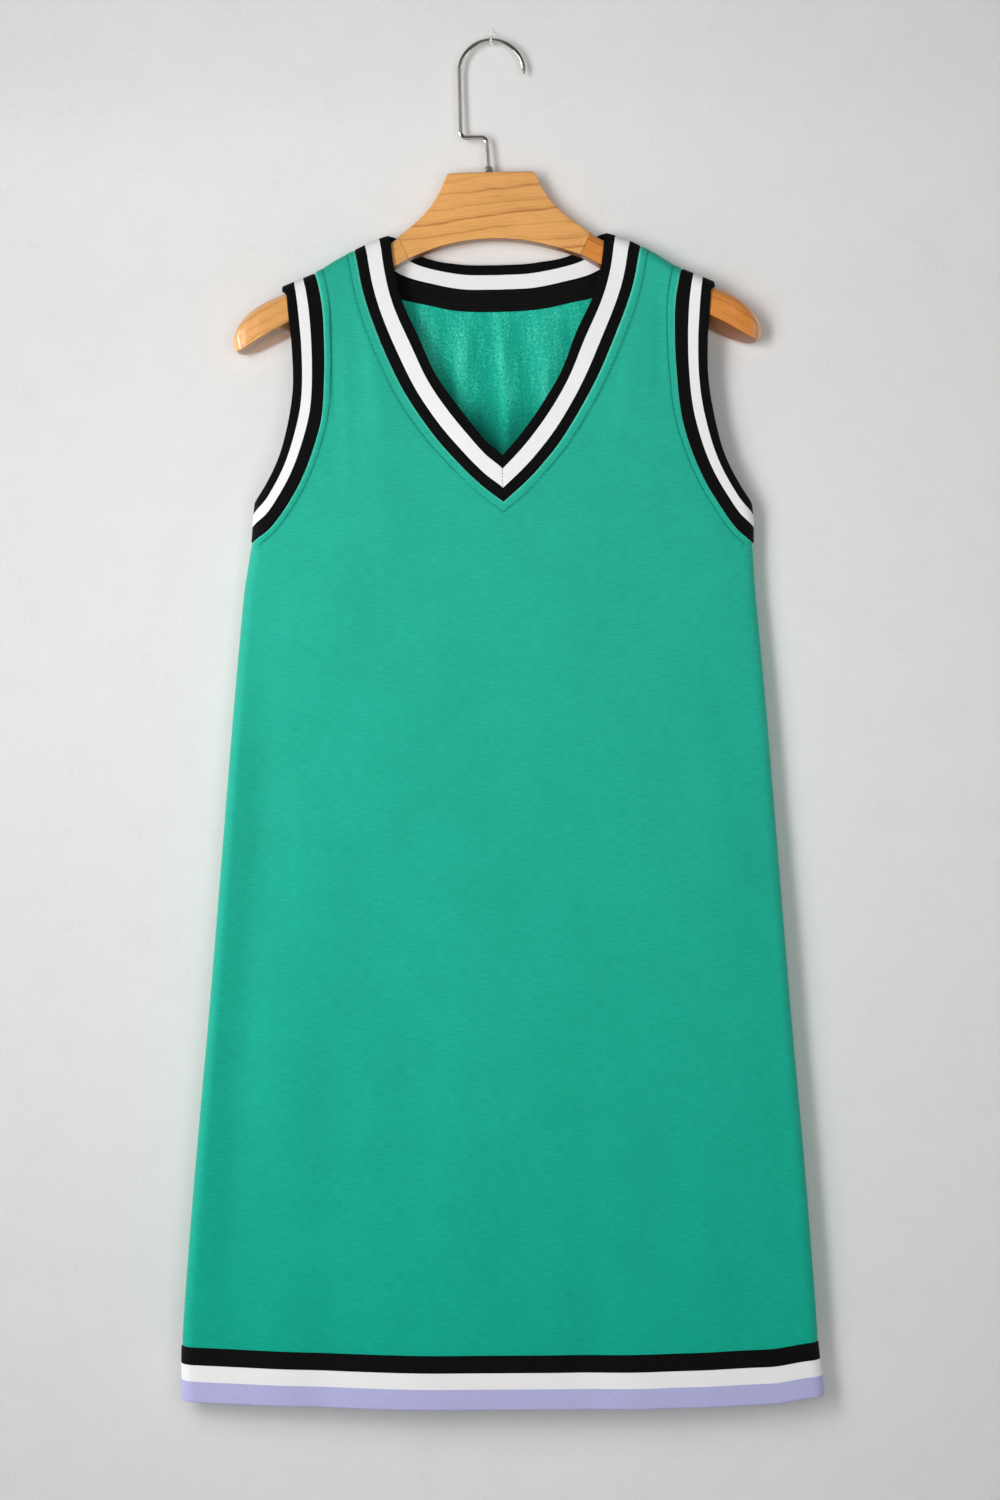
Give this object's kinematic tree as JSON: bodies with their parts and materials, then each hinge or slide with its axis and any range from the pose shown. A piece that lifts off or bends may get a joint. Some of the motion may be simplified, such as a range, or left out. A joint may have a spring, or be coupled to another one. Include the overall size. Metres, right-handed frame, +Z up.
{
  "type": "shift dress on a clothes hanger",
  "caption": "Sleeveless A-line shift dress with a V neck and striped rib bands at neck, armholes and hem, hung on a wooden clothes hanger with a wire hook.",
  "frame": {"origin": "underside of the top of the hanger's hook, where it rests on a peg or rail", "axes": "+Z up, -Y out of the front of the dress, +X to the right of somebody who looks at its front"},
  "size_m": [0.5124, 0.045, 1.0888],
  "materials": {
    "green_terry": "matte French terry, smooth outside and looped inside",
    "striped_rib": "matte rib knit in black, white and black stripes",
    "hem_rib": "matte rib knit in black, white and lilac stripes",
    "black_tape": "matte knitted tape",
    "pale_wood": "gloss varnish",
    "amber_wood": "gloss varnish",
    "nickel": "bright nickel plate"
  },
  "bodies": {
    "root": {"front_panel": "green_terry", "back_panel": "green_terry", "neckband": "striped_rib", "armband_left": "striped_rib", "armband_right": "striped_rib", "hem_band": "hem_rib", "neck_tape": "black_tape", "hanger_board": "pale_wood", "hanger_arm_left": "amber_wood", "hanger_arm_right": "amber_wood", "hook_collar": "nickel", "hanger_hook": "nickel"}
  },
  "joints": []
}
